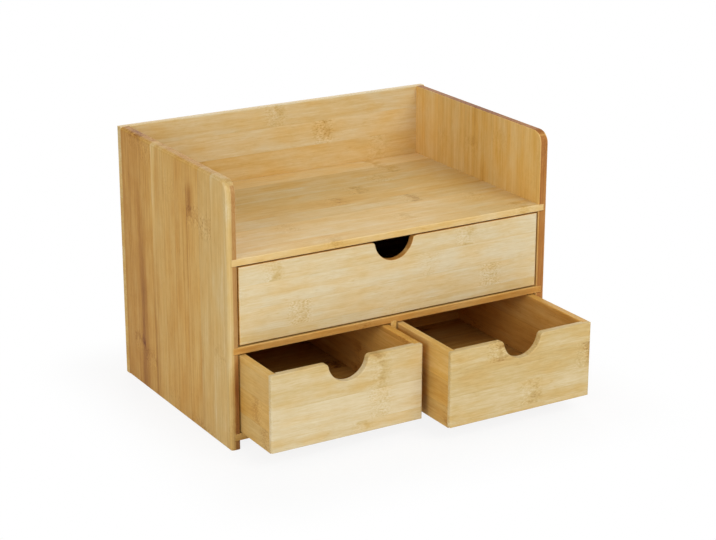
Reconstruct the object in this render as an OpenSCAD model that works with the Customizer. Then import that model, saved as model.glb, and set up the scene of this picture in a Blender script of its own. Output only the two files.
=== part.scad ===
// Desktop mini drawers in laminated bamboo: a cabinet with an open letter tray on top,
// one wide drawer across the middle and two narrow drawers side by side below it.
// X runs along the width, Y from front to back, Z up. The cabinet stands on Z = 0.

/* [Cabinet] */
// Width over the two side panels
cabinet_w = 330; // [260:1:420]
// Depth from the front edges to the rear face of the back panel
cabinet_d = 220; // [160:1:300]
// Thickness of each side panel
side_t = 9; // [8:0.5:14]
// Thickness of the back panel
back_t = 9; // [6:0.5:14]
// Thickness of the three horizontal boards
board_t = 6.5; // [5:0.5:9]
// Thickness of the upright divider between the lower drawers
divider_t = 6; // [5:0.5:10]
// Height of the bottom board above the desk
skid_h = 8; // [4:0.5:12]
// Clear height of the lower bays
lower_bay_h = 73; // [55:0.5:95]
// Clear height of the upper bay
upper_bay_h = 73; // [55:0.5:95]
// Height of the side and back panels above the tray's floor
tray_h = 68.5; // [30:0.5:110]

/* [Cabinet joints] */
// Depth of the grooves that hold the boards in the side panels
board_housing = 5; // [3:0.5:5.5]
// Depth of the grooves that hold the divider in the boards above and below it
divider_housing = 2; // [1:0.25:2.5]

/* [Cabinet edges] */
// Radius of the top front corner of each side panel
corner_r = 12; // [6:1:24]
// Rounding along the outer edges of the side and back panels
outer_edge_r = 3.25; // [1:0.25:3.5]
// Rounding along the inner edges of the panels and along the boards
inner_edge_r = 1; // [0.5:0.25:1.5]

/* [Drawers] */
// Thickness of the drawer fronts, sides and backs
wall_t = 7; // [6:0.5:10]
// Thickness of the drawer bottoms
bottom_t = 4; // [3:0.5:5]
// Height of a drawer bottom's underside above the lower edges of its walls
bottom_lift = 8; // [4:0.5:12]
// Depth of the grooves and rabbets that join the drawer walls and hold the bottom
wall_housing = 3; // [2:0.5:4]
// Play at each edge of a drawer bottom inside its groove
bottom_play = 0.25; // [0:0.05:0.5]
// Rounding of the upright corners of a drawer front
front_edge_r = 2; // [1:0.25:2.5]
// Rounding along the lower edge of a drawer front's face
front_rim_r = 1; // [0.5:0.25:1.5]
// Rounding along the top and bottom edges of the other drawer walls
wall_edge_r = 1.25; // [0.5:0.25:1.5]

/* [Drawer fit] */
// Gap between a drawer and the board that it slides on
run_gap = 0.3; // [0.1:0.1:0.6]
// Gap above a drawer
top_gap = 1.2; // [0.6:0.1:3]
// Gap at each side of a drawer
side_gap = 1.2; // [0.4:0.1:2]
// Gap behind a drawer that is pushed home
rear_gap = 0.3; // [0.1:0.1:2]
// How far a closed drawer's front stands behind the front edges of the cabinet
front_recess = 0.5; // [0:0.1:2]
// How much higher a front's lower edge ends than the walls that slide on the board
front_lift = 1; // [0:0.1:2]

/* [Finger notch] */
// Radius of the notch in the top edge of each drawer front
notch_r = 19.75; // [14:0.25:24]
// Height of the notch's centre above the top edge
notch_rise = 0.5; // [0:0.25:4]
// Rounding of the two upper corners of the notch
notch_corner_r = 4; // [2:0.25:5]
// Rounding of the notch's edges and of a front's top edge
notch_edge_r = 1; // [0.5:0.25:1.5]

/* [How far the drawers stand open] */
// Wide upper drawer, counted from closed
top_out = 0; // [0:0.5:120]
// Lower left drawer, counted from closed
left_out = 55.5; // [0:0.5:120]
// Lower right drawer, counted from closed
right_out = 86.5; // [0:0.5:120]

/* [Hidden] */
$fn = 48;
past = 1; // how far a cut reaches past the face that it opens
sink = 0.03; // how far the discs at the notch's corners reach into the notch before it is cut

// Levels and clear spaces of the cabinet.
half_w = cabinet_w / 2;
inner_w = cabinet_w - 2 * side_t;
inner_d = cabinet_d - back_t;
bottom_board_z = skid_h;
lower_bay_z = bottom_board_z + board_t;
middle_shelf_z = lower_bay_z + lower_bay_h;
upper_bay_z = middle_shelf_z + board_t;
top_shelf_z = upper_bay_z + upper_bay_h;
cabinet_h = top_shelf_z + board_t + tray_h;
lower_bay_w = (inner_w - divider_t) / 2;

// The object is centred on its own footprint with the drawers as they stand open.
furthest_out = max(top_out, left_out, right_out) - front_recess;
front_y = (max(furthest_out, 0) - cabinet_d) / 2;

// Outer sizes of the drawers.
drawer_d = inner_d - front_recess - rear_gap;
wide_w = inner_w - 2 * side_gap;
narrow_w = lower_bay_w - 2 * side_gap;
upper_h = upper_bay_h - run_gap - top_gap;
lower_h = lower_bay_h - run_gap - top_gap;

// What is left of a drawer wall behind its grooves and rabbets.
wall_left = wall_t - wall_housing;

// The upper corners of the notch: each corner circle touches the top edge and reaches a hair
// into the notch, so that the notch's surface crosses the corner's and doesn't graze it.
notch_corner_z = notch_rise + notch_corner_r;
notch_half_w = sqrt(pow(notch_r + notch_corner_r - sink, 2) - pow(notch_corner_z, 2));

panel_colour = [0.78, 0.63, 0.40];
board_colour = [0.80, 0.62, 0.36];
drawer_colour = [0.86, 0.76, 0.56];
lining_colour = [0.70, 0.54, 0.33];

// ---- Rounded boards ----

// The waste outside a rounding of radius r, for a corner at the origin with material in +X +Y.
module corner_waste(r) {
    difference() {
        translate([-past, -past]) square(r + past);
        translate([r, r]) circle(r);
    }
}

// A w by h rectangle from the origin. Its corners are rounded by r, listed anticlockwise
// from the origin, and a radius of 0 leaves a corner square.
module eased_rectangle(w, h, r) {
    difference() {
        square([w, h]);
        if (r[0] > 0) corner_waste(r[0]);
        if (r[1] > 0) translate([w, 0]) mirror([1, 0]) corner_waste(r[1]);
        if (r[2] > 0) translate([w, h]) rotate(180) corner_waste(r[2]);
        if (r[3] > 0) translate([0, h]) mirror([0, 1]) corner_waste(r[3]);
    }
}

// Extrusions of an eased rectangle along each axis, over the board from the origin to size.
module eased_along_x(size, r) {
    rotate([90, 0, 90]) linear_extrude(size.x) eased_rectangle(size.y, size.z, r);
}

module eased_along_y(size, r) {
    translate([0, size.y, 0]) rotate([90, 0, 0]) linear_extrude(size.y)
        eased_rectangle(size.x, size.z, r);
}

module eased_along_z(size, r) {
    linear_extrude(size.z) eased_rectangle(size.x, size.y, r);
}

// A disc of radius r and thickness t, from z = 0, whose two rims are rounded.
module eased_disc(r, t, rim_low, rim_high) {
    rotate_extrude() eased_rectangle(r, t, [0, rim_low, rim_high, 0]);
}

// ---- Cabinet ----

// Side panel with its outer face at x = 0 and its inner face at x = side_t. The front, top and
// bottom edges are rounded, more on the outer face than on the inner, and the rear edge is
// square where it meets the back panel. Three grooves run through to the front edge.
module side_panel() {
    size = [side_t, inner_d, cabinet_h];
    difference() {
        union() {
            difference() {
                intersection() {
                    eased_along_z(size, [outer_edge_r, inner_edge_r, 0, 0]);
                    eased_along_y(size, [inner_edge_r, inner_edge_r, inner_edge_r, outer_edge_r]);
                }
                translate([-past, -past, cabinet_h - corner_r])
                    cube([side_t + 2 * past, corner_r + past, corner_r + past]);
            }
            translate([0, corner_r, cabinet_h - corner_r]) rotate([0, 90, 0])
                eased_disc(corner_r, side_t, outer_edge_r, inner_edge_r);
        }
        for (z = [bottom_board_z, middle_shelf_z, top_shelf_z])
            translate([side_t - board_housing, -past, z])
                cube([board_housing + past, inner_d + 2 * past, board_t]);
    }
}

// A board that spans the cabinet, with both ends in the side panels' grooves.
module cabinet_board(z) {
    size = [inner_w + 2 * board_housing, inner_d, board_t];
    translate([-size.x / 2, front_y, z])
        eased_along_x(size, [inner_edge_r, 0, 0, inner_edge_r]);
}

// The slot that the divider leaves in a board, from the level z up to z + h.
module divider_slot(z, h) {
    translate([-divider_t / 2, front_y - past, z])
        cube([divider_t, inner_d + 2 * past, h]);
}

module left_side_panel() {
    color(panel_colour) translate([-half_w, front_y, 0]) side_panel();
}

module right_side_panel() {
    color(panel_colour) translate([half_w, front_y, 0]) mirror([1, 0, 0]) side_panel();
}

// The back panel covers the rear edges of the side panels over their full height.
module back_panel() {
    size = [cabinet_w, back_t, cabinet_h];
    color(panel_colour) translate([-half_w, front_y + inner_d, 0]) intersection() {
        eased_along_x(size, [0, inner_edge_r, outer_edge_r, inner_edge_r]);
        eased_along_z(size, [0, 0, outer_edge_r, outer_edge_r]);
    }
}

module top_shelf() {
    color(board_colour) cabinet_board(top_shelf_z);
}

module middle_shelf() {
    color(board_colour) difference() {
        cabinet_board(middle_shelf_z);
        divider_slot(middle_shelf_z - past, divider_housing + past);
    }
}

module bottom_board() {
    color(board_colour) difference() {
        cabinet_board(bottom_board_z);
        divider_slot(lower_bay_z - divider_housing, divider_housing + past);
    }
}

module divider() {
    size = [divider_t, inner_d, lower_bay_h + 2 * divider_housing];
    color(board_colour) translate([-divider_t / 2, front_y, lower_bay_z - divider_housing])
        eased_along_z(size, [inner_edge_r, inner_edge_r, 0, 0]);
}

// ---- Drawers ----
// A drawer's own frame starts at the lower left corner of its face, with Y running inwards.

// What the notch removes: a round cutter along Y whose rims flare out to round the edges.
// It is centred on the origin and reaches from the face at y = 0 to the rear at y = wall_t.
module notch_cutter() {
    flare_r = notch_r + notch_edge_r;
    rotate([-90, 0, 0]) rotate_extrude() union() {
        translate([0, -past]) square([notch_r, wall_t + 2 * past]);
        difference() {
            translate([0, -past]) square([flare_r, notch_edge_r + past]);
            translate([flare_r, notch_edge_r]) circle(notch_edge_r);
        }
        difference() {
            translate([0, wall_t - notch_edge_r]) square([flare_r, notch_edge_r + past]);
            translate([flare_r, wall_t - notch_edge_r]) circle(notch_edge_r);
        }
    }
}

// Waste above the lines from the notch's centre to the centres of its two corner discs,
// for a notch in the middle of a top edge at z = 0.
module notch_corner_waste() {
    translate([0, wall_t + past, 0]) rotate([90, 0, 0]) linear_extrude(wall_t + 2 * past)
        polygon([
            [-notch_half_w, -notch_corner_r], [0, notch_rise], [notch_half_w, -notch_corner_r],
            [notch_half_w, 2 * notch_r], [-notch_half_w, 2 * notch_r]
        ]);
}

// The front covers the ends of the sides, which sit in rabbets behind it. Its face is rounded
// all round, its lower edge is clear of the board below, and the notch has rounded upper
// corners and rounded edges.
module drawer_front(w, h) {
    size = [w, wall_t, h - front_lift];
    difference() {
        union() {
            difference() {
                translate([0, 0, front_lift]) intersection() {
                    eased_along_z(size, [front_edge_r, front_edge_r, 0, 0]);
                    eased_along_x(size, [front_rim_r, wall_edge_r, notch_edge_r, notch_edge_r]);
                    eased_along_y(size, [wall_edge_r, wall_edge_r, wall_edge_r, wall_edge_r]);
                }
                translate([w / 2, 0, h]) notch_corner_waste();
            }
            for (side = [-1, 1])
                translate([w / 2 + side * notch_half_w, 0, h - notch_corner_r])
                    rotate([-90, 0, 0])
                        eased_disc(notch_corner_r, wall_t, notch_edge_r, notch_edge_r);
        }
        translate([w / 2, 0, h + notch_rise]) notch_cutter();
        for (x = [-past, w - wall_t])
            translate([x, wall_left, -past]) cube([wall_t + past, wall_t, h + 2 * past]);
        translate([-past, wall_left, bottom_lift]) cube([w + 2 * past, wall_t, bottom_t]);
    }
}

// Left side of a drawer, outer face at x = 0. The back sits in a rabbet at its rear end.
module drawer_side(h) {
    size = [wall_t, drawer_d - wall_left, h];
    translate([0, wall_left, 0]) difference() {
        eased_along_y(size, [wall_edge_r, wall_edge_r, wall_edge_r, wall_edge_r]);
        translate([wall_left, size.y - wall_t, -past]) cube([wall_t, wall_t + past, h + 2 * past]);
        translate([wall_left, -past, bottom_lift]) cube([wall_t, size.y + 2 * past, bottom_t]);
    }
}

module drawer_right_side(w, h) {
    translate([w, 0, 0]) mirror([1, 0, 0]) drawer_side(h);
}

module drawer_back(w, h) {
    size = [w - 2 * wall_left, wall_t, h];
    translate([wall_left, drawer_d - wall_t, 0]) difference() {
        eased_along_x(size, [wall_edge_r, wall_edge_r, wall_edge_r, wall_edge_r]);
        translate([-past, -past, bottom_lift])
            cube([size.x + 2 * past, wall_housing + past, bottom_t]);
    }
}

// The bottom lies in grooves in all four walls, with a little play at its edges.
module drawer_bottom(w) {
    edge = wall_left + bottom_play;
    translate([edge, edge, bottom_lift])
        cube([w - 2 * edge, drawer_d - 2 * edge, bottom_t]);
}

// Where each drawer's frame lies in the cabinet.
module place_drawer(x, z, out) {
    translate([x, front_y + front_recess - out, z + run_gap]) color(drawer_colour) children();
}

module place_top_drawer() {
    place_drawer(-wide_w / 2, upper_bay_z, top_out) children();
}

module place_left_drawer() {
    place_drawer(-half_w + side_t + side_gap, lower_bay_z, left_out) children();
}

module place_right_drawer() {
    place_drawer(divider_t / 2 + side_gap, lower_bay_z, right_out) children();
}

module top_drawer_front() {
    place_top_drawer() drawer_front(wide_w, upper_h);
}

module top_drawer_left_side() {
    place_top_drawer() drawer_side(upper_h);
}

module top_drawer_right_side() {
    place_top_drawer() drawer_right_side(wide_w, upper_h);
}

module top_drawer_back() {
    place_top_drawer() drawer_back(wide_w, upper_h);
}

module top_drawer_bottom() {
    place_top_drawer() color(lining_colour) drawer_bottom(wide_w);
}

module left_drawer_front() {
    place_left_drawer() drawer_front(narrow_w, lower_h);
}

module left_drawer_left_side() {
    place_left_drawer() drawer_side(lower_h);
}

module left_drawer_right_side() {
    place_left_drawer() drawer_right_side(narrow_w, lower_h);
}

module left_drawer_back() {
    place_left_drawer() drawer_back(narrow_w, lower_h);
}

module left_drawer_bottom() {
    place_left_drawer() color(lining_colour) drawer_bottom(narrow_w);
}

module right_drawer_front() {
    place_right_drawer() drawer_front(narrow_w, lower_h);
}

module right_drawer_left_side() {
    place_right_drawer() drawer_side(lower_h);
}

module right_drawer_right_side() {
    place_right_drawer() drawer_right_side(narrow_w, lower_h);
}

module right_drawer_back() {
    place_right_drawer() drawer_back(narrow_w, lower_h);
}

module right_drawer_bottom() {
    place_right_drawer() color(lining_colour) drawer_bottom(narrow_w);
}

left_side_panel();
right_side_panel();
back_panel();
top_shelf();
middle_shelf();
bottom_board();
divider();
top_drawer_front();
top_drawer_left_side();
top_drawer_right_side();
top_drawer_back();
top_drawer_bottom();
left_drawer_front();
left_drawer_left_side();
left_drawer_right_side();
left_drawer_back();
left_drawer_bottom();
right_drawer_front();
right_drawer_left_side();
right_drawer_right_side();
right_drawer_back();
right_drawer_bottom();
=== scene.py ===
"""Desktop mini drawers in laminated bamboo: board finishes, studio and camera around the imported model."""
from math import radians

import bpy
import numpy as np
from mathutils import Matrix, Vector


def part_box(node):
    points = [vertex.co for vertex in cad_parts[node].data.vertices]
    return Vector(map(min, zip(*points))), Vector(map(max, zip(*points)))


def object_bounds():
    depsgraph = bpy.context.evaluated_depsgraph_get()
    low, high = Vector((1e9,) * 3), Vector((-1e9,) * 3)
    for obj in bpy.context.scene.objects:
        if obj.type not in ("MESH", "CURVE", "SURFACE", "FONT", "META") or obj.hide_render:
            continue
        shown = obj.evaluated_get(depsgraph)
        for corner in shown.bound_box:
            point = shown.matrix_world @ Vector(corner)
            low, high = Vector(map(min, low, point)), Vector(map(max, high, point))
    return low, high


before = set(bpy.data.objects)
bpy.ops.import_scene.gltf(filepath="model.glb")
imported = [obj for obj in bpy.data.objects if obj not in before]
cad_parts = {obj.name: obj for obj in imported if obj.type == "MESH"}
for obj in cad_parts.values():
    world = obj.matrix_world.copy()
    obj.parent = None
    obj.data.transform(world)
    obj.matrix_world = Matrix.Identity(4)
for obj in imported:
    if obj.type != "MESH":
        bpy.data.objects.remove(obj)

bl_info = {
    "name": "Mini drawers in bamboo",
    "version": (1, 0, 0),
    "blender": (4, 5, 0),
    "location": "3D View > Sidebar > Mini Drawers",
    "description": "Finishes the boards of a small desktop drawer cabinet and sets up its studio",
    "category": "Object",
}

CAD_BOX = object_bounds()


def card(red, green, blue):
    """The linear colour of a paint-card value: each part over 255, then the usual screen curve undone."""
    parts = np.array([red, green, blue]) / 255.0
    return tuple(np.where(parts <= 0.04045, parts / 12.92, ((parts + 0.055) / 1.055) ** 2.4))


# ---------------------------------------------------------------- settings

class WoodSettings(bpy.types.PropertyGroup):
    """The bamboo's colours and the sizes of its strips, knuckles and fibres."""

    pale_colour: bpy.props.FloatVectorProperty(
        name="Pale bamboo", description="Lightest strips and pale flecks",
        subtype="COLOR", size=3, min=0.0, max=1.0, default=card(232, 208, 164))
    golden_colour: bpy.props.FloatVectorProperty(
        name="Golden bamboo", description="The usual strip",
        subtype="COLOR", size=3, min=0.0, max=1.0, default=card(207, 172, 109))
    brown_colour: bpy.props.FloatVectorProperty(
        name="Brown bamboo", description="Dark strips, streaks and knuckle marks",
        subtype="COLOR", size=3, min=0.0, max=1.0, default=card(167, 123, 63))
    dark_colour: bpy.props.FloatVectorProperty(
        name="Dark bamboo", description="The darkest lines in knuckles and seams",
        subtype="COLOR", size=3, min=0.0, max=1.0, default=card(100, 50, 22))
    strip_width: bpy.props.FloatProperty(
        name="Strip width", description="Width of one glued bamboo strip",
        unit="LENGTH", min=0.005, max=0.06, default=0.0236)
    knuckle_spacing: bpy.props.FloatProperty(
        name="Knuckle spacing", description="Distance from one knuckle of the cane to the next",
        unit="LENGTH", min=0.05, max=0.5, default=0.198)
    fibre_strength: bpy.props.FloatProperty(
        name="Fibre strength", description="How strongly the fine fibres show",
        subtype="FACTOR", min=0.0, max=3.0, default=1.0)
    knuckle_strength: bpy.props.FloatProperty(
        name="Knuckle strength", description="How strongly the knuckle marks show",
        subtype="FACTOR", min=0.0, max=3.0, default=1.0)
    seam_strength: bpy.props.FloatProperty(
        name="Seam strength", description="How dark the glue lines between strips are",
        subtype="FACTOR", min=0.0, max=3.0, default=1.0)
    roughness: bpy.props.FloatProperty(
        name="Lacquer roughness", description="Roughness of the satin lacquer",
        subtype="FACTOR", min=0.05, max=1.0, default=0.5)
    gloss: bpy.props.FloatProperty(
        name="Lacquer gloss", description="Strength of the lacquer's reflections",
        subtype="FACTOR", min=0.0, max=1.0, default=0.12)


class StudioSettings(bpy.types.PropertyGroup):
    """The camera, the three lamps, the sky and the floor."""

    camera_place: bpy.props.FloatVectorProperty(
        name="Camera place", description="Where the camera stands",
        subtype="TRANSLATION", unit="LENGTH", size=3, default=(-0.85695, -1.43923, 0.68652))
    camera_heading: bpy.props.FloatProperty(
        name="Heading", description="Turn of the view from the +Y axis towards +X",
        unit="ROTATION", default=radians(30.842))
    camera_dip: bpy.props.FloatProperty(
        name="Dip", description="How far the camera looks down",
        unit="ROTATION", default=radians(18.761))
    camera_roll: bpy.props.FloatProperty(
        name="Roll", description="Turn of the camera about its line of sight",
        unit="ROTATION", default=radians(0.065))
    lens: bpy.props.FloatProperty(
        name="Lens", description="Focal length on a 36 mm wide sensor",
        unit="CAMERA", min=20.0, max=300.0, default=97.11)
    key_power: bpy.props.FloatProperty(
        name="Key lamp", description="Power of the large soft lamp in front on the right",
        unit="POWER", min=0.0, max=500.0, default=29.5)
    side_power: bpy.props.FloatProperty(
        name="Side lamp", description="Power of the large soft lamp on the left",
        unit="POWER", min=0.0, max=500.0, default=18.0)
    back_power: bpy.props.FloatProperty(
        name="Back lamp", description="Power of the soft lamp behind the object",
        unit="POWER", min=0.0, max=500.0, default=16.0)
    sky_level: bpy.props.FloatProperty(
        name="Sky level", description="Brightness of the even light from all round",
        min=0.0, max=2.0, default=0.4)
    floor_size: bpy.props.FloatProperty(
        name="Floor size", description="Width of the floor",
        unit="LENGTH", min=1.0, max=40.0, default=16.0)
    shadow_share: bpy.props.FloatProperty(
        name="Shadow share", description="How much of the object's shadow the white floor shows beside it",
        subtype="FACTOR", min=0.0, max=1.0, default=0.13)
    shadow_reach: bpy.props.FloatProperty(
        name="Shadow reach", description="How far from the object its shadow fades out",
        unit="LENGTH", min=0.01, max=2.0, default=0.1)


# ---------------------------------------------------------------- node wiring

SOCKETS = {"value": "NodeSocketFloat", "vector": "NodeSocketVector", "colour": "NodeSocketColor"}


class Wiring:
    """Adds nodes to one tree and joins them. Its calls take outputs or plain numbers, and give outputs."""

    def __init__(self, tree):
        self.tree = tree

    def put(self, socket, value):
        """Joins an output to a socket, or writes a plain number or colour on it."""
        if isinstance(value, bpy.types.NodeSocket):
            self.tree.links.new(value, socket)
        else:
            socket.default_value = value

    def fill(self, sockets, values):
        """Puts each value on the socket of its turn."""
        for socket, value in zip(sockets, values):
            self.put(socket, value)

    def node(self, kind, **settings):
        """A new node with these settings."""
        made = self.tree.nodes.new(kind)
        for name, value in settings.items():
            setattr(made, name, value)
        return made

    def maths(self, operation, *values):
        """One operation on one or two numbers."""
        made = self.node("ShaderNodeMath", operation=operation)
        self.fill(made.inputs, values)
        return made.outputs[0]

    def vector(self, operation, *values):
        """One operation on one or two vectors. LENGTH gives a number."""
        made = self.node("ShaderNodeVectorMath", operation=operation)
        self.fill(made.inputs, values)
        return made.outputs["Value" if operation == "LENGTH" else "Vector"]

    def total(self, *values):
        """The sum of any number of values."""
        result = values[0]
        for value in values[1:]:
            result = self.maths("ADD", result, value)
        return result

    def product(self, *values):
        """The product of any number of values."""
        result = values[0]
        for value in values[1:]:
            result = self.maths("MULTIPLY", result, value)
        return result

    def weighed(self, given, weights):
        """A list of named values, each times its weight."""
        return [self.product(given[name], weight) for name, weight in weights.items()]

    def ease(self, value, low, high, start=0.0, end=1.0, smooth=True):
        """start below low, end above high, and a smooth or straight rise between them."""
        made = self.node("ShaderNodeMapRange", interpolation_type="SMOOTHSTEP" if smooth else "LINEAR")
        self.fill(made.inputs, (value, low, high, start, end))
        return made.outputs[0]

    def fade(self, value, low, high):
        """1 below low, 0 above high, and a smooth fall between them."""
        return self.ease(value, low, high, start=1.0, end=0.0)

    def split(self, vector):
        """The three parts of a vector."""
        made = self.node("ShaderNodeSeparateXYZ")
        self.put(made.inputs[0], vector)
        return made.outputs[0], made.outputs[1], made.outputs[2]

    def join(self, x, y, z):
        """A vector of three parts."""
        made = self.node("ShaderNodeCombineXYZ")
        self.fill(made.inputs, (x, y, z))
        return made.outputs[0]

    def noise(self, place, length, width, detail=2.0, roughness=0.5, spread=1.0):
        """Noise about 0, drawn out along the grain: length and width are the size of its patches in metres,
        and spread is how far it swings."""
        stretched = self.vector("MULTIPLY", place, (1.0 / length, 1.0 / width, 1.0 / width))
        made = self.node("ShaderNodeTexNoise")
        self.put(made.inputs["Vector"], stretched)
        made.inputs["Scale"].default_value = 1.0
        made.inputs["Detail"].default_value = detail
        made.inputs["Roughness"].default_value = roughness
        return self.maths("MULTIPLY", self.maths("SUBTRACT", made.outputs[0], 0.5), spread)

    def mix(self, factor, first, second, way="MIX"):
        """Two colours mixed, with the factor held between 0 and 1."""
        made = self.node("ShaderNodeMix", data_type="RGBA", blend_type=way, clamp_factor=True)
        self.fill((made.inputs[0], made.inputs[6], made.inputs[7]), (factor, first, second))
        return made.outputs[2]

    def group(self, name, **values):
        """Places a group and fills its named inputs; underscores in a name stand for spaces."""
        made = self.node("ShaderNodeGroup", node_tree=bpy.data.node_groups[name])
        for label, value in values.items():
            self.put(made.inputs[label.replace("_", " ")], value)
        return made.outputs


def new_group(name, inputs, outputs):
    """An empty shader group with named sockets: returns its wiring and its inputs and outputs by name."""
    tree = bpy.data.node_groups.new(name, "ShaderNodeTree")
    for way, sockets in (("INPUT", inputs), ("OUTPUT", outputs)):
        for label, kind in sockets.items():
            tree.interface.new_socket(label, in_out=way, socket_type=SOCKETS[kind])
    wiring = Wiring(tree)
    return wiring, wiring.node("NodeGroupInput").outputs, wiring.node("NodeGroupOutput").inputs


# ---------------------------------------------------------------- effects shared by the boards
# In every group Place is the point with x along the grain, y across the strips and z through the board.
# Lengths are in metres.

SEAM_REACH = 0.0007                # half the width of a glue line
LINE_REACH = 0.0009                # half the width of a knuckle's line
LINE_BOW = 0.012                   # how fast a knuckle's line bows away from the middle of its strip
SMUDGE_START = 0.002               # where a knuckle's smudge is full
SMUDGE_END = 0.015                 # and where it has faded out
FLECKS_FULL = 0.006                # how far from a knuckle its flecks and swirl are full
FLECKS_END = 0.016                 # and where they have faded out
KNUCKLE_SHIFT = 0.731              # how far along the grain two strips' knuckles read the noise apart
FIBRE_SHIFT = 1.37                 # the same for their fibres
SIDE_TURN = (0.55, 0.85)           # part of a normal that makes its face start to be an edge, and be one
LAYER_CHANGE = (-0.1, 0.06)        # where in the board's depth the inner layer gives way to the outer one
LAYER_AT_ENDS = 0.1                # how much of the inner layer shows on the sawn ends

# What each effect adds to the tone at full strength
FIBRE_TONES = {"Fibre": 0.3, "Streak": 0.14, "Dash": 0.09, "Cloud": 0.12, "Mottle": 0.11}
KNUCKLE_TONES = {"Line": 0.14, "Smudge": 0.3, "Dark Flecks": 0.17, "Pale Flecks": -0.1}
SEAM_TONE = 0.08
END_TONE = 0.02
PORE_TONE = 0.12

# What each effect adds to the warmth, to the roughness and to the height of the relief
WARMTHS = {"Cloud": 0.4, "Streak": 0.18, "Accent": 0.6}
ROUGHNESSES = {"Fibre": 0.12, "End Grain": 0.12, "Dash": 0.06}
HEIGHTS = {"Fibre": 0.5, "Dash": -0.3, "Seam": -0.5, "Line": -0.3, "Dark Flecks": -0.2}
LEVEL = 0.5                        # the height where nothing adds to it
LAYER_BLUSH = 2.5                  # how rosy the inner layer is for each unit of its tone

BAMBOO_COLOURS = ("Pale Colour", "Golden Colour", "Brown Colour", "Dark Colour")
TONE_STEP = 0.35                   # tone from each of these colours to the next
PLAIN_TINT = (1.0, 1.0, 1.0, 1.0)
STRAW_TINT = (0.93, 1.025, 1.18, 1.0)
HONEY_TINT = (1.11, 0.972, 0.61, 1.0)
ROSY_TINT = (1.12, 0.93, 0.9, 1.0)


def own_place(w, given, shift):
    """The place moved by the strip's seed, so that each strip reads noise of its own."""
    return w.vector("ADD", given["Place"], w.join(w.product(given["Seed"], shift), 0.0, given["Seed"]))


def strips_group():
    """Which strip a point lies on: Number counts from 0, Lookup is its middle in a table from 0 to 1,
    Cross runs from -0.5 to 0.5 over the strip, and Seam is 1 on the glue line and fades in places."""
    w, given, made = new_group(
        "Glued strips",
        {"Place": "vector", "First Edge": "value", "Strip Width": "value", "Strip Count": "value"},
        {"Number": "value", "Lookup": "value", "Cross": "value", "Seam": "value"})
    across = w.split(given["Place"])[1]
    counted = w.maths("DIVIDE", w.maths("SUBTRACT", across, given["First Edge"]), given["Strip Width"])
    last = w.maths("SUBTRACT", given["Strip Count"], 1.0)
    number = w.maths("MINIMUM", w.maths("MAXIMUM", w.maths("FLOOR", counted), 0.0), last)
    cross = w.maths("SUBTRACT", w.maths("SUBTRACT", counted, number), 0.5)
    to_edge = w.product(w.maths("SUBTRACT", 0.5, w.maths("ABSOLUTE", cross)), given["Strip Width"])
    unbroken = w.ease(w.noise(given["Place"], length=0.05, width=0.03), low=-0.12, high=0.1, start=0.15)
    w.put(made["Number"], number)
    w.put(made["Lookup"], w.maths("DIVIDE", w.maths("ADD", number, 0.5), given["Strip Count"]))
    w.put(made["Cross"], cross)
    w.put(made["Seam"], w.product(w.fade(to_edge, 0.0, SEAM_REACH), unbroken))


def knuckles_group():
    """The mark where the cane had a knuckle, once in each Spacing along the strip: a thin broken line that
    bows across the strip, a soft brown smudge on one side of it, and small dark and pale flecks on both
    sides. Swirl says where the fibres curl."""
    w, given, made = new_group(
        "Cane knuckles",
        {"Place": "vector", "Cross": "value", "Knuckle Place": "value", "Spacing": "value",
         "Seed": "value"},
        {"Line": "value", "Smudge": "value", "Dark Flecks": "value", "Pale Flecks": "value",
         "Swirl": "value"})
    along = w.split(given["Place"])[0]
    turns = w.maths("SUBTRACT", w.maths("DIVIDE", along, given["Spacing"]), given["Knuckle Place"])
    away = w.product(w.maths("SUBTRACT", turns, w.maths("ROUND", turns)), given["Spacing"])
    own = own_place(w, given, KNUCKLE_SHIFT)
    crook = w.noise(own, length=0.02, width=0.007, spread=0.008)
    bow = w.product(given["Cross"], given["Cross"], LINE_BOW)
    bent = w.total(away, crook, bow)
    unbroken = w.ease(w.noise(own, length=0.004, width=0.0022), low=-0.05, high=0.08)
    w.put(made["Line"], w.product(w.fade(w.maths("ABSOLUTE", bent), 0.0, LINE_REACH), unbroken))
    side = w.total(bent, w.noise(own, length=0.03, width=0.0035, spread=0.012))
    cloud = w.product(w.ease(side, -SMUDGE_START, SMUDGE_START), w.fade(side, SMUDGE_START, SMUDGE_END))
    patch = w.ease(w.noise(own, length=0.012, width=0.007), low=-0.14, high=0.08)
    w.put(made["Smudge"], w.product(cloud, patch))
    region = w.fade(w.maths("ABSOLUTE", w.total(away, crook)), FLECKS_FULL, FLECKS_END)
    dots = w.noise(own, length=0.0022, width=0.0011, detail=1.0)
    w.put(made["Dark Flecks"], w.product(w.ease(dots, low=0.04, high=0.15), region))
    w.put(made["Pale Flecks"], w.product(w.ease(dots, low=-0.04, high=-0.15), region))
    w.put(made["Swirl"], region)


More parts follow.
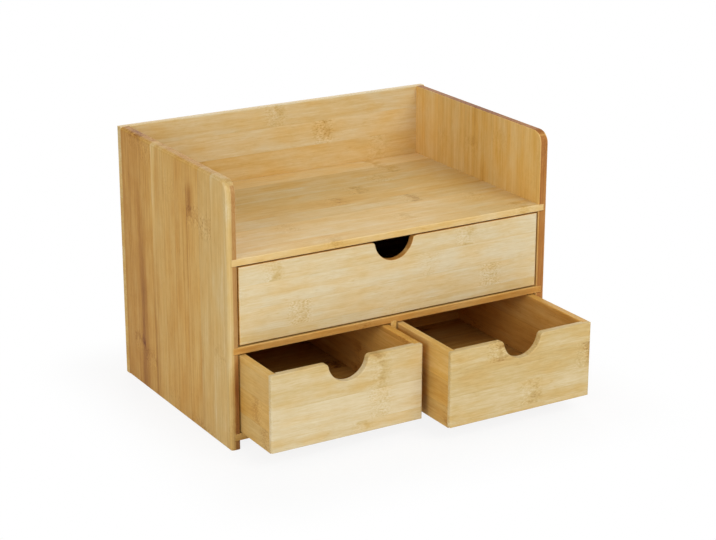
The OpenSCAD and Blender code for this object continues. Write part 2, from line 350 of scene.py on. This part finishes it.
def fibres_group():
    """Fine lines along the grain, each strip with its own: Fibre is the thin texture, Streak the broad soft
    bands, Dash the short dark bundle marks, Cloud a slow drift of tone and Mottle small soft patches. Swirl
    bends them near a knuckle, Length draws the lines out, and Fine and Bands are the shares in Fibre of hair
    lines and of lines 1 to 2 mm wide."""
    w, given, made = new_group(
        "Bamboo fibres",
        {"Place": "vector", "Seed": "value", "Swirl": "value", "Length": "value", "Fine": "value",
         "Bands": "value"},
        {"Fibre": "value", "Streak": "value", "Dash": "value", "Cloud": "value", "Mottle": "value"})
    own = own_place(w, given, FIBRE_SHIFT)
    drift = w.noise(own, length=0.05, width=0.012, spread=0.004)
    curl = w.product(w.noise(own, length=0.006, width=0.004, detail=1.0, spread=0.009), given["Swirl"])
    moved = w.vector("ADD", own, w.join(0.0, w.total(drift, curl), 0.0))
    drawn = w.vector("DIVIDE", moved, w.join(given["Length"], 1.0, 1.0))
    thin = w.noise(drawn, length=0.013, width=0.0009, detail=3.0)
    broad = w.noise(drawn, length=0.028, width=0.0016)
    w.put(made["Fibre"], w.total(w.product(thin, given["Fine"]), w.product(broad, given["Bands"])))
    w.put(made["Streak"], w.noise(drawn, length=0.13, width=0.006, spread=2.0))
    dashes = w.ease(w.noise(moved, length=0.006, width=0.0006, detail=1.0), low=0.08, high=0.2)
    cluster = w.ease(w.noise(own, length=0.02, width=0.009), low=0.0, high=0.12)
    w.put(made["Dash"], w.product(dashes, cluster))
    w.put(made["Cloud"], w.noise(own, length=0.035, width=0.016, spread=2.0))
    w.put(made["Mottle"], w.noise(own, length=0.006, width=0.003, detail=3.0, roughness=0.6))


def edges_group():
    """Where on the board a point lies: End Grain is 1 on the sawn ends, Long Edge is 1 on the narrow faces
    along the grain, Arris is 1 on the rounding between a broad face and the board's edge, and Depth runs
    from -0.5 to 0.5 through the board."""
    w, given, made = new_group(
        "Board edges",
        {"Place": "vector", "Facing": "vector", "Centre": "vector", "Half Size": "vector"},
        {"End Grain": "value", "Long Edge": "value", "Arris": "value", "Depth": "value"})
    to_end, to_edge, to_face = [w.maths("ABSOLUTE", part) for part in w.split(given["Facing"])]
    w.put(made["End Grain"], w.ease(to_end, *SIDE_TURN))
    w.put(made["Long Edge"], w.ease(to_edge, *SIDE_TURN))
    off_edge, off_face = w.ease(to_face, low=0.08, high=0.4), w.fade(to_face, low=0.86, high=0.995)
    w.put(made["Arris"], w.product(off_edge, off_face))
    local = w.vector("SUBTRACT", given["Place"], given["Centre"])
    depth = w.split(w.vector("DIVIDE", local, given["Half Size"]))[2]
    w.put(made["Depth"], w.product(depth, 0.5))


def streak_group():
    """Adds one soft streak to Sum, brown or, where Strength is negative, pale: it lies at Across, fades over
    Width, and grows from Start to End along the grain, with a ragged edge."""
    w, given, made = new_group(
        "Brown streak",
        {"Place": "vector", "Sum": "value", "Across": "value", "Width": "value", "Start": "value",
         "End": "value", "Strength": "value"},
        {"Sum": "value"})
    along, across, _ = w.split(given["Place"])
    ragged = w.noise(given["Place"], length=0.07, width=0.003, spread=0.004)
    off = w.maths("ABSOLUTE", w.total(w.maths("SUBTRACT", across, given["Across"]), ragged))
    body = w.fade(w.maths("DIVIDE", off, given["Width"]), 0.0, 1.0)
    grown = w.ease(along, given["Start"], given["End"])
    w.put(made["Sum"], w.total(given["Sum"], w.product(body, grown, given["Strength"])))


def colour_group():
    """The colour, gloss and relief of lacquered bamboo. One number, the tone, runs from pale over golden and
    brown to dark, and every effect adds to it or takes from it. Warmth then tints it from straw to honey, and
    Blush makes it rosy."""
    numbers = ("Tone", "Warmth", "Blush", "Accent", "Ply", "Edge Tone", "Edge Warmth", "Edge Blush",
               "Arris Tone", *FIBRE_TONES, *KNUCKLE_TONES, "Seam", "End Grain", "Long Edge", "Arris", "Depth",
               "Fibre Strength", "Knuckle Strength", "Seam Strength", "Lacquer Roughness")
    inputs = {"Place": "vector"}
    inputs.update({label: "value" for label in numbers})
    inputs.update({label: "colour" for label in BAMBOO_COLOURS})
    w, given, made = new_group("Bamboo colour", inputs,
                               {"Color": "colour", "Roughness": "value", "Height": "value"})
    fine = w.product(w.total(*w.weighed(given, FIBRE_TONES)), given["Fibre Strength"])
    knuckle = w.product(w.total(*w.weighed(given, KNUCKLE_TONES)), given["Knuckle Strength"])
    seam = w.product(given["Seam"], SEAM_TONE, given["Seam Strength"])
    pores = w.ease(w.noise(given["Place"], length=0.02, width=0.0009, detail=1.0), low=0.02, high=0.14)
    ends = w.product(w.total(END_TONE, w.product(pores, PORE_TONE)), given["End Grain"])
    edge_side = w.maths("MAXIMUM", given["Long Edge"], given["End Grain"])
    off_ends = w.ease(given["End Grain"], low=0.0, high=0.5, start=1.0, end=LAYER_AT_ENDS)
    layer = w.product(w.fade(given["Depth"], *LAYER_CHANGE), given["Ply"], off_ends)
    edges = w.product(edge_side, w.total(given["Edge Tone"], layer))
    # A mostly negative arris tone lightens the rounded arrises: a painted highlight, partly also sanded wood.
    arris_highlight_and_sanding = w.product(given["Arris"], given["Arris Tone"])
    tone = w.total(given["Tone"], fine, knuckle, seam, ends, edges, given["Accent"], arris_highlight_and_sanding)
    colour = given[BAMBOO_COLOURS[0]]
    for step, label in enumerate(BAMBOO_COLOURS[1:]):
        reached = w.ease(tone, low=step * TONE_STEP, high=(step + 1) * TONE_STEP, smooth=False)
        colour = w.mix(reached, colour, given[label])
    warmth = w.total(given["Warmth"], *w.weighed(given, WARMTHS), w.product(edges, given["Edge Warmth"]))
    tinted = w.mix(1.0, colour, w.mix(warmth, STRAW_TINT, HONEY_TINT), way="MULTIPLY")
    edge_blush = w.product(edge_side, w.total(given["Edge Blush"], w.product(layer, LAYER_BLUSH)))
    blush = w.mix(w.total(given["Blush"], edge_blush), PLAIN_TINT, ROSY_TINT)
    w.put(made["Color"], w.mix(1.0, tinted, blush, way="MULTIPLY"))
    w.put(made["Roughness"], w.total(given["Lacquer Roughness"], *w.weighed(given, ROUGHNESSES)))
    w.put(made["Height"], w.total(LEVEL, *w.weighed(given, HEIGHTS)))


def shared_groups():
    """Makes the shared groups once."""
    for name, make in (("Glued strips", strips_group), ("Cane knuckles", knuckles_group),
                       ("Bamboo fibres", fibres_group), ("Board edges", edges_group),
                       ("Brown streak", streak_group), ("Bamboo colour", colour_group)):
        if name not in bpy.data.node_groups:
            make()


# ---------------------------------------------------------------- the boards

X, Y, Z = Vector((1, 0, 0)), Vector((0, 1, 0)), Vector((0, 0, 1))
RELIEF_DEPTH = 0.00006             # of the fibres under the lacquer, in metres
STRIP_ROOM = 0.004                 # how far a table of strips starts outside the board, in metres
TONE_SPREAD = 0.05                 # how much the tone of strips picked at random varies
WARMTH_SPREAD = 0.12               # and their warmth
MOST_SMUDGE = 0.8                  # the strongest smudge of their knuckles
MOST_LINE = 0.7                    # the strongest line
LEAST_FLECKS = 0.3                 # and the weakest flecks
PANEL_FIRST_EDGE = -0.0845         # where the first strip of a side panel starts, along Y in metres
WALL_FIRST_SEED = 107              # of the drawers' sides and backs
WALL_SEED_STEP = 7                 # from one of them to the next


def own_strips(seed, count, tone, warmth):
    """A table of strips picked at random from a seed: each has its tone, its warmth, the place of one knuckle
    along the grain as a share of the spacing, and how strongly its smudge, line and flecks show."""
    rng = np.random.default_rng(seed)
    return [(tone + TONE_SPREAD * rng.normal(), warmth + WARMTH_SPREAD * rng.normal(), rng.random(),
             rng.uniform(0.0, MOST_SMUDGE), rng.uniform(0.0, MOST_LINE), rng.uniform(LEAST_FLECKS, 1.0))
            for _ in range(count)]


def knuckle_at(*rows):
    """A table of strips listed one by one: rows of tone, warmth, one knuckle's place along the grain in
    metres, and the strength of its smudge, line and flecks."""
    spacing = bpy.context.scene.bamboo_wood.knuckle_spacing
    return [(tone, warmth, (place / spacing) % 1.0, *marks) for tone, warmth, place, *marks in rows]


def strip_table(w, rows, lookup):
    """Three numbers for each strip, held in the steps of a colour ramp and looked up by its middle."""
    table = w.node("ShaderNodeValToRGB")
    table.color_ramp.interpolation = "CONSTANT"
    stops = table.color_ramp.elements
    stops.remove(stops[1])
    for index, row in enumerate(rows):
        stop = stops[0] if index == 0 else stops.new(index / len(rows))
        stop.color = (*np.clip(row, 0.0, 1.0), 1.0)
    w.put(table.inputs[0], lookup)
    looked_up = w.node("ShaderNodeSeparateColor")
    w.put(looked_up.inputs[0], table.outputs["Color"])
    return looked_up.outputs[0], looked_up.outputs[1], looked_up.outputs[2]


def turned(w, turn):
    """The point and the normal on a board, turned to x along the grain, y across the strips, z through it."""
    where = w.node("ShaderNodeTexCoord")
    for source, kind in (("Object", "POINT"), ("Normal", "VECTOR")):
        mapping = w.node("ShaderNodeMapping", vector_type=kind)
        mapping.inputs["Rotation"].default_value = turn.to_euler()
        w.put(mapping.inputs["Vector"], where.outputs[source])
        yield mapping.outputs[0]


def streak_sum(w, place, streaks):
    """What a board's streaks add to its tone together."""
    accent = 0.0
    for across, width, start, end, strength in streaks:
        accent = w.group("Brown streak", Place=place, Sum=accent, Across=across, Width=width, Start=start,
                         End=end, Strength=strength)["Sum"]
    return accent


def board_finish(node, along, across, strips, seed, first_edge=None, strip_width=None, streaks=(),
                 length=1.0, fine=0.7, bands=0.55, ply=0.0, blush=0.0,
                 arris_tone=-0.1, edge_tone=0.0, edge_warmth=-0.2, edge_blush=0.0):
    """Gives a board its bamboo. along is the grain, and across is the way its strips lie side by side. strips
    is the table of them, each strip_width wide, from first_edge on. streaks are brown, or pale where their
    strength is negative: (across, width, start, end, strength). All lengths are in metres. length draws the
    fibres out, and fine and bands say how strongly the hair lines and the wider lines show. ply is the tone
    that the inner layer adds on the edges, and blush says how rosy the board is. arris_tone is added on the
    rounded arrises, where a negative one lightens them as a painted highlight on slightly sanded wood, and
    edge_tone on the edges and ends. There edge_warmth is the change of warmth for each unit of added tone,
    and edge_blush is added to the blush."""
    wood = bpy.context.scene.bamboo_wood
    low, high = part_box(node)
    turn = Matrix((along, across, along.cross(across)))
    centre = turn @ ((low + high) / 2)
    half = Vector([abs(part) for part in turn @ ((high - low) / 2)])
    if first_edge is None:
        first_edge = centre.y - half.y - STRIP_ROOM
    material = bpy.data.materials.new("bamboo_" + node)
    material.use_nodes = True
    w = Wiring(material.node_tree)
    place, facing = turned(w, turn)
    laid = w.group("Glued strips", Place=place, First_Edge=first_edge,
                   Strip_Width=strip_width or wood.strip_width, Strip_Count=len(strips))
    tone, warmth, knuckle_place = strip_table(w, [row[:3] for row in strips], laid["Lookup"])
    smudge, line, flecks = strip_table(w, [row[3:] for row in strips], laid["Lookup"])
    own_seed = w.total(laid["Number"], seed)
    knuckle = w.group("Cane knuckles", Place=place, Cross=laid["Cross"], Knuckle_Place=knuckle_place,
                      Spacing=wood.knuckle_spacing, Seed=own_seed)
    fibre = w.group("Bamboo fibres", Place=place, Seed=own_seed, Swirl=w.product(knuckle["Swirl"], flecks),
                    Length=length, Fine=fine, Bands=bands)
    edge = w.group("Board edges", Place=place, Facing=facing, Centre=centre, Half_Size=half)
    values = {"Place": place, "Tone": tone, "Warmth": warmth, "Blush": blush, "Ply": ply,
              "Edge_Tone": edge_tone, "Edge_Warmth": edge_warmth, "Edge_Blush": edge_blush,
              "Arris_Tone": arris_tone, "Accent": streak_sum(w, place, streaks), "Seam": laid["Seam"],
              "Line": w.product(knuckle["Line"], line), "Smudge": w.product(knuckle["Smudge"], smudge),
              "Dark_Flecks": w.product(knuckle["Dark Flecks"], flecks),
              "Pale_Flecks": w.product(knuckle["Pale Flecks"], flecks),
              "Fibre_Strength": wood.fibre_strength, "Knuckle_Strength": wood.knuckle_strength,
              "Seam_Strength": wood.seam_strength, "Lacquer_Roughness": wood.roughness}
    for outputs, labels in ((fibre, FIBRE_TONES), (edge, ("End Grain", "Long Edge", "Arris", "Depth"))):
        values.update({label: outputs[label] for label in labels})
    for label in BAMBOO_COLOURS:
        values[label] = (*getattr(wood, label.lower().replace(" ", "_")), 1.0)
    finish = w.group("Bamboo colour", **values)
    relief = w.node("ShaderNodeBump")
    relief.inputs["Distance"].default_value = RELIEF_DEPTH
    w.put(relief.inputs["Height"], finish["Height"])
    shader = w.tree.nodes["Principled BSDF"]
    shader.inputs["Specular IOR Level"].default_value = wood.gloss
    w.put(shader.inputs["Base Color"], finish["Color"])
    w.put(shader.inputs["Roughness"], finish["Roughness"])
    w.put(shader.inputs["Normal"], relief.outputs[0])
    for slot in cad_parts[node].material_slots:
        slot.material = material


class SidePanels(bpy.types.Operator):
    """Finishes the two side panels: upright grain, the left one's edges with a darker inner layer"""

    bl_idname = "mini_drawers.side_panels"
    bl_label = "Side panels"
    bl_options = {"REGISTER", "UNDO"}

    def execute(self, context):
        shared_groups()
        left = knuckle_at(
            (0.33, 0.25, 0.020, 0.1, 0.1, 0.3), (0.35, 0.40, 0.082, 0.2, 0.1, 0.4),
            (0.40, 0.50, 0.192, 0.1, 0.9, 1.0), (0.45, 0.80, 0.196, 0.35, 1.0, 0.7),
            (0.49, 0.90, 0.060, 0.0, 0.0, 0.1), (0.46, 0.80, 0.012, 0.0, 0.3, 0.3),
            (0.44, 0.70, 0.120, 0.0, 0.0, 0.1), (0.54, 0.95, 0.033, 0.25, 0.1, 0.6),
            (0.59, 1.00, 0.240, 0.6, 0.2, 0.6), (0.60, 1.00, 0.140, 0.0, 0.0, 0.2))
        streaks = ((0.104, 0.012, 0.200, 0.090, 0.22), (0.080, 0.004, 0.130, 0.050, 0.24),
                   (0.075, 0.003, 0.170, 0.120, 0.10), (0.079, 0.008, 0.150, 0.190, -0.12),
                   (0.067, 0.003, 0.120, 0.180, 0.07), (-0.013, 0.009, 0.110, 0.050, 0.10),
                   (0.004, 0.008, 0.188, 0.204, 0.32), (0.004, 0.008, 0.212, 0.232, -0.28),
                   (0.0098, 0.0014, 0.224, 0.216, 0.20), (0.0098, 0.0014, 0.150, 0.120, -0.16),
                   # the last streak darkens the front edge towards the bottom: painted shade
                   (-0.067, 0.006, 0.090, 0.055, 0.14))
        board_finish("left_side_panel", Z, Y, left, seed=3, first_edge=PANEL_FIRST_EDGE, streaks=streaks,
                     length=2.5, fine=0.5, bands=1.0, ply=0.28, edge_tone=0.03, edge_warmth=-0.8)
        # The right panel's strips are paler than the left's: partly the board's own tone, partly painted
        # light that lifts its inner face out of the tray's shade.
        right = knuckle_at(
            (0.21, 0.90, 0.020, 0.1, 0.2, 0.3), (0.21, 0.90, 0.190, 0.1, 0.1, 0.2),
            (0.22, 0.86, 0.130, 0.2, 0.3, 0.6), (0.27, 0.78, 0.222, 0.2, 0.2, 0.3),
            (0.31, 0.68, 0.090, 0.1, 0.1, 0.4), (0.31, 0.66, 0.205, 0.3, 0.1, 0.3),
            (0.29, 0.66, 0.050, 0.0, 0.2, 0.2), (0.26, 0.70, 0.200, 0.2, 0.1, 0.2),
            (0.23, 0.80, 0.120, 0.3, 0.2, 0.5), (0.22, 0.84, 0.030, 0.0, 0.0, 0.2))
        board_finish("right_side_panel", Z, Y, right, seed=23, first_edge=PANEL_FIRST_EDGE, length=3.0,
                     fine=0.5, bands=1.0, edge_tone=0.54, edge_warmth=-0.85, edge_blush=1.0)
        return {"FINISHED"}


class BackPanel(bpy.types.Operator):
    """Finishes the back panel: level grain"""

    bl_idname = "mini_drawers.back_panel"
    bl_label = "Back panel"
    bl_options = {"REGISTER", "UNDO"}

    def execute(self, context):
        shared_groups()
        lower = own_strips(31, 8, tone=0.34, warmth=0.6)
        upper = knuckle_at((0.28, 0.45, 0.110, 0.3, 0.2, 0.5), (0.21, 0.27, 0.049, 0.5, 0.2, 1.0),
                           (0.25, 0.18, -0.004, 0.3, 0.3, 0.7))
        board_finish("back_panel", X, Z, lower + upper, seed=41, first_edge=-0.015)
        return {"FINISHED"}


class Shelves(bpy.types.Operator):
    """Finishes the three level boards: the tray's floor, the middle shelf and the bottom board"""

    bl_idname = "mini_drawers.shelves"
    bl_label = "Shelves"
    bl_options = {"REGISTER", "UNDO"}

    def execute(self, context):
        shared_groups()
        tray = knuckle_at((0.28, 0.55, -0.061, 0.5, 0.2, 0.5), (0.25, 0.50, 0.030, 0.4, 0.2, 0.5),
                          (0.24, 0.55, 0.120, 0.3, 0.2, 0.6))
        board_finish("top_shelf", X, Y, tray + own_strips(53, 7, tone=0.26, warmth=0.5), seed=55,
                     edge_tone=-0.02)
        board_finish("middle_shelf", X, Y, own_strips(57, 10, tone=0.42, warmth=0.55), seed=59,
                     edge_tone=0.08, edge_warmth=1.5, edge_blush=0.4)
        board_finish("bottom_board", X, Y, own_strips(61, 10, tone=0.42, warmth=0.75), seed=63,
                     edge_tone=0.1)
        return {"FINISHED"}


class Divider(bpy.types.Operator):
    """Finishes the upright board between the two narrow drawers"""

    bl_idname = "mini_drawers.divider"
    bl_label = "Divider"
    bl_options = {"REGISTER", "UNDO"}

    def execute(self, context):
        shared_groups()
        board_finish("divider", Y, Z, own_strips(71, 4, tone=0.4, warmth=0.7), seed=73, edge_tone=-0.1)
        return {"FINISHED"}


class DrawerFronts(bpy.types.Operator):
    """Finishes the three drawer fronts: level grain, pale strips"""

    bl_idname = "mini_drawers.drawer_fronts"
    bl_label = "Drawer fronts"
    bl_options = {"REGISTER", "UNDO"}

    def execute(self, context):
        shared_groups()
        top = knuckle_at((0.20, 0.20, 0.0, 0.0, 0.2, 0.3), (0.15, 0.20, -0.095, 0.25, 0.1, 1.0),
                         (0.13, 0.14, 0.038, 0.1, 0.9, 0.3), (0.16, 0.10, -0.1225, 0.6, 0.2, 0.5))
        # The strong edge tone, edge warmth and edge blush make the top front's edges, which face the narrow
        # gaps round the drawer, dark warm brown: painted shade in the gaps.
        board_finish("top_drawer_front", X, Z, top, seed=81, first_edge=0.0825, strip_width=0.02175,
                     fine=0.85, bands=0.3, arris_tone=0.02, edge_tone=0.48, edge_warmth=1.0, edge_blush=0.5)
        left = knuckle_at((0.18, 0.04, -0.066, 0.5, 0.2, 0.3), (0.15, 0.00, -0.048, 0.1, 0.4, 0.6),
                          (0.24, 0.04, -0.048, 0.6, 0.2, 0.4))
        board_finish("left_drawer_front", X, Z, left, seed=87, first_edge=0.0005, strip_width=0.0268,
                     fine=0.85, bands=0.35, arris_tone=-0.02, edge_tone=-0.03)
        right = knuckle_at((0.28, 0.10, 0.020, 0.0, 0.2, 0.3), (0.27, 0.03, 0.090, 0.5, 0.6, 0.6),
                           (0.33, 0.05, 0.151, 0.6, 0.3, 0.8), (0.31, 0.05, 0.054, 0.6, 0.2, 0.8))
        board_finish("right_drawer_front", X, Z, right, seed=91, first_edge=-0.003, strip_width=0.0238,
                     fine=1.05, bands=0.35, arris_tone=-0.02, edge_tone=-0.03)
        return {"FINISHED"}


class DrawerWalls(bpy.types.Operator):
    """Finishes the sides and backs of the drawers: level grain"""

    bl_idname = "mini_drawers.drawer_walls"
    bl_label = "Drawer sides and backs"
    bl_options = {"REGISTER", "UNDO"}

    def execute(self, context):
        shared_groups()
        # each wall's name, its grain, and its tone, warmth and blush
        walls = (("left_side", Y, 0.4, 0.7, 0.0), ("right_side", Y, 0.45, 0.95, 0.5),
                 ("back", X, 0.5, 0.8, 0.3))
        pieces = [(drawer, *wall) for drawer in ("top", "left", "right") for wall in walls]
        for order, (drawer, wall, grain, tone, warmth, blush) in enumerate(pieces):
            seed = WALL_FIRST_SEED + WALL_SEED_STEP * order
            board_finish(f"{drawer}_drawer_{wall}", grain, Z, own_strips(seed, 4, tone, warmth), seed=seed,
                         blush=blush, arris_tone=-0.04, edge_blush=-blush)
        return {"FINISHED"}


class DrawerBottoms(bpy.types.Operator):
    """Finishes the bottoms of the drawers: thin boards with level grain"""

    bl_idname = "mini_drawers.drawer_bottoms"
    bl_label = "Drawer bottoms"
    bl_options = {"REGISTER", "UNDO"}

    def execute(self, context):
        shared_groups()
        # The bottoms are darker than the walls: partly the wood's tone, partly painted shade inside the
        # drawers.
        for seed, drawer in ((201, "top"), (211, "left"), (221, "right")):
            board_finish(f"{drawer}_drawer_bottom", X, Y, own_strips(seed, 9, tone=0.66, warmth=0.8),
                         seed=seed)
        return {"FINISHED"}


# ---------------------------------------------------------------- studio

PAPER_COLOUR = (0.92, 0.92, 0.92, 1.0)
SENSOR_WIDTH = 36.0                # in millimetres
CAMERA_REACH = (0.05, 50.0)        # the nearest and the farthest that the camera sees, in metres
# Each lamp's name, where it stands and what it faces, its width and height, all in metres, and the
# setting that holds its power
LAMPS = (("key_lamp", (0.55, -1.9, 1.65), (0.0, -0.05, 0.12), 1.5, 1.2, "key_power"),
         ("side_lamp", (-2.0, -1.1, 0.9), (-0.165, 0.04, 0.12), 1.2, 1.2, "side_power"),
         ("back_lamp", (0.9, 1.9, 1.1), (0.05, 0.15, 0.12), 1.2, 1.2, "back_power"))


def seen_rays(w):
    """1 for rays that carry what is seen, by the camera, in a gloss or through glass, and 0 for light."""
    path = w.node("ShaderNodeLightPath")
    seen = w.maths("MAXIMUM", path.outputs["Is Camera Ray"], path.outputs["Is Glossy Ray"])
    return w.maths("MAXIMUM", seen, path.outputs["Is Transmission Ray"])


def floor_mesh(size, steps=8):
    """A level square at height 0: x and y each run over steps + 1 even places, from minus half the size to
    plus half of it."""
    line = np.linspace(-size / 2, size / 2, steps + 1)
    x, y = np.meshgrid(line, line)
    corners = np.stack([x.ravel(), y.ravel(), np.zeros(x.size)], axis=1)
    first = (np.arange(steps)[:, None] * (steps + 1) + np.arange(steps)).ravel()
    faces = np.stack([first, first + 1, first + steps + 2, first + steps + 1], axis=1)
    mesh = bpy.data.meshes.new("studio_floor")
    mesh.from_pydata(corners.tolist(), [], faces.tolist())
    return mesh


def floor_material(share, reach, low, high):
    """White paper. Beside the object, whose footprint runs from low to high, it shows a share of the shadow,
    and that fades out over the reach. Elsewhere what is seen of it is plain white by its own glow."""
    material = bpy.data.materials.new("studio_paper")
    material.use_nodes = True
    w = Wiring(material.node_tree)
    w.tree.nodes.clear()
    where = w.node("ShaderNodeTexCoord").outputs["Object"]
    centre, half = (low + high) / 2, (high - low) / 2
    local = w.vector("ABSOLUTE", w.vector("SUBTRACT", where, (centre.x, centre.y, 0.0)))
    past_edge = w.vector("MAXIMUM", w.vector("SUBTRACT", local, (half.x, half.y, 0.0)), (0.0, 0.0, 0.0))
    kept = w.ease(w.vector("LENGTH", past_edge), low=0.0, high=reach, start=share, end=0.0)
    paper = w.node("ShaderNodeBsdfDiffuse")
    paper.inputs["Color"].default_value = PAPER_COLOUR
    glow = w.node("ShaderNodeEmission")
    glow.inputs["Strength"].default_value = 1.0
    mixed = w.node("ShaderNodeMixShader")
    own_light = w.product(seen_rays(w), w.maths("SUBTRACT", 1.0, kept))
    w.fill(mixed.inputs, (own_light, paper.outputs[0], glow.outputs[0]))
    w.put(w.node("ShaderNodeOutputMaterial").inputs["Surface"], mixed.outputs[0])
    return material


def studio_world(level):
    """Even white light of a given level, and plain white where it is seen."""
    world = bpy.data.worlds.new("studio_world")
    world.use_nodes = True
    w = Wiring(world.node_tree)
    backdrop = w.tree.nodes["Background"]
    backdrop.inputs["Color"].default_value = (1.0, 1.0, 1.0, 1.0)
    strength = w.ease(seen_rays(w), low=0.0, high=1.0, start=level, end=1.0, smooth=False)
    w.put(backdrop.inputs["Strength"], strength)
    return world


def aimed_lamp(name, place, target, width, height, power):
    """Adds a rectangular soft lamp at place that faces target."""
    data = bpy.data.lights.new(name, "AREA")
    data.shape = "RECTANGLE"
    data.size, data.size_y = width, height
    data.energy = power
    lamp = bpy.data.objects.new(name, data)
    lamp.location = place
    lamp.rotation_euler = (Vector(target) - Vector(place)).to_track_quat("-Z", "Y").to_euler()
    bpy.context.scene.collection.objects.link(lamp)


def studio_camera(studio):
    """Adds the camera. It starts out pointing down, rolls about its line of sight, tips up to the dip and
    turns to the heading."""
    data = bpy.data.cameras.new("camera")
    data.sensor_fit = "HORIZONTAL"
    data.sensor_width = SENSOR_WIDTH
    data.lens = studio.lens
    data.clip_start, data.clip_end = CAMERA_REACH
    data.dof.use_dof = False
    camera = bpy.data.objects.new("camera", data)
    turn = (Matrix.Rotation(-studio.camera_heading, 4, "Z")
            @ Matrix.Rotation(radians(90.0) - studio.camera_dip, 4, "X")
            @ Matrix.Rotation(studio.camera_roll, 4, "Z"))
    camera.matrix_world = Matrix.Translation(studio.camera_place) @ turn
    bpy.context.scene.collection.objects.link(camera)
    return camera


class Studio(bpy.types.Operator):
    """Sets up the white floor, the even light, the three soft lamps and the camera"""

    bl_idname = "mini_drawers.studio"
    bl_label = "Studio"
    bl_options = {"REGISTER", "UNDO"}

    def execute(self, context):
        studio = context.scene.bamboo_studio
        low, high = CAD_BOX
        floor = bpy.data.objects.new("studio_floor", floor_mesh(studio.floor_size))
        floor.data.materials.append(floor_material(studio.shadow_share, studio.shadow_reach, low, high))
        context.scene.collection.objects.link(floor)
        context.scene.world = studio_world(studio.sky_level)
        for name, place, target, width, height, power in LAMPS:
            aimed_lamp(name, place, target, width, height, getattr(studio, power))
        context.scene.camera = studio_camera(studio)
        context.scene.view_settings.view_transform = "Standard"
        return {"FINISHED"}


# ---------------------------------------------------------------- panel and registration

class MiniDrawersPanel(bpy.types.Panel):
    """Lists the settings and the steps in the 3D view's sidebar"""

    bl_idname = "VIEW3D_PT_mini_drawers"
    bl_label = "Mini drawers"
    bl_space_type = "VIEW_3D"
    bl_region_type = "UI"
    bl_category = "Mini Drawers"

    def draw(self, context):
        wood, studio = context.scene.bamboo_wood, context.scene.bamboo_studio
        for title, settings, steps in (("Bamboo", wood, PIECE_STEPS), ("Studio", studio, (Studio,))):
            box = self.layout.box()
            box.label(text=title)
            for name in type(settings).__annotations__:
                box.prop(settings, name)
            for step in steps:
                box.operator(step.bl_idname)


PIECE_STEPS = (SidePanels, BackPanel, Shelves, Divider, DrawerFronts, DrawerWalls, DrawerBottoms)
CLASSES = (WoodSettings, StudioSettings, *PIECE_STEPS, Studio, MiniDrawersPanel)


def register():
    """Adds the classes and the two groups of settings."""
    for made in CLASSES:
        bpy.utils.register_class(made)
    bpy.types.Scene.bamboo_wood = bpy.props.PointerProperty(type=WoodSettings)
    bpy.types.Scene.bamboo_studio = bpy.props.PointerProperty(type=StudioSettings)


def unregister():
    """Takes them out again."""
    del bpy.types.Scene.bamboo_studio
    del bpy.types.Scene.bamboo_wood
    for made in reversed(CLASSES):
        bpy.utils.unregister_class(made)


def main():
    """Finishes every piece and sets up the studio."""
    register()
    bpy.ops.mini_drawers.side_panels()
    bpy.ops.mini_drawers.back_panel()
    bpy.ops.mini_drawers.shelves()
    bpy.ops.mini_drawers.divider()
    bpy.ops.mini_drawers.drawer_fronts()
    bpy.ops.mini_drawers.drawer_walls()
    bpy.ops.mini_drawers.drawer_bottoms()
    bpy.ops.mini_drawers.studio()


if __name__ == "__main__":
    main()
